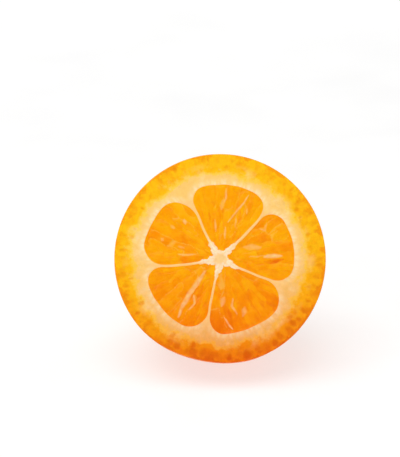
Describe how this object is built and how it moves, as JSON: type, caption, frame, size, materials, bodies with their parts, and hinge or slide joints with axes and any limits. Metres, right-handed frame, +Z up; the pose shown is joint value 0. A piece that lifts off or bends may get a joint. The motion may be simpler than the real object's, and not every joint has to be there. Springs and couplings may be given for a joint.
{
  "type": "kumquat half",
  "caption": "Half of an oval kumquat cut across, with rind, pale pith and wedge-shaped pulp segments on the cut face, lying on its rounded side.",
  "frame": {"origin": "centre of the small flat spot on the rounded side that the half rests on", "axes": "+Z up, the cut face looks towards -Y and upwards, the stem end points towards +Y and down"},
  "size_m": [0.025, 0.0241, 0.0254],
  "materials": {
    "peel": "waxy orange citrus skin with fine oil glands",
    "cut_rind": "moist cut rind, yellow-orange outside and cream pith inside",
    "pulp": "wet translucent orange juice sacs"
  },
  "bodies": {
    "root": {"kumquat_half": "peel"}
  },
  "joints": []
}
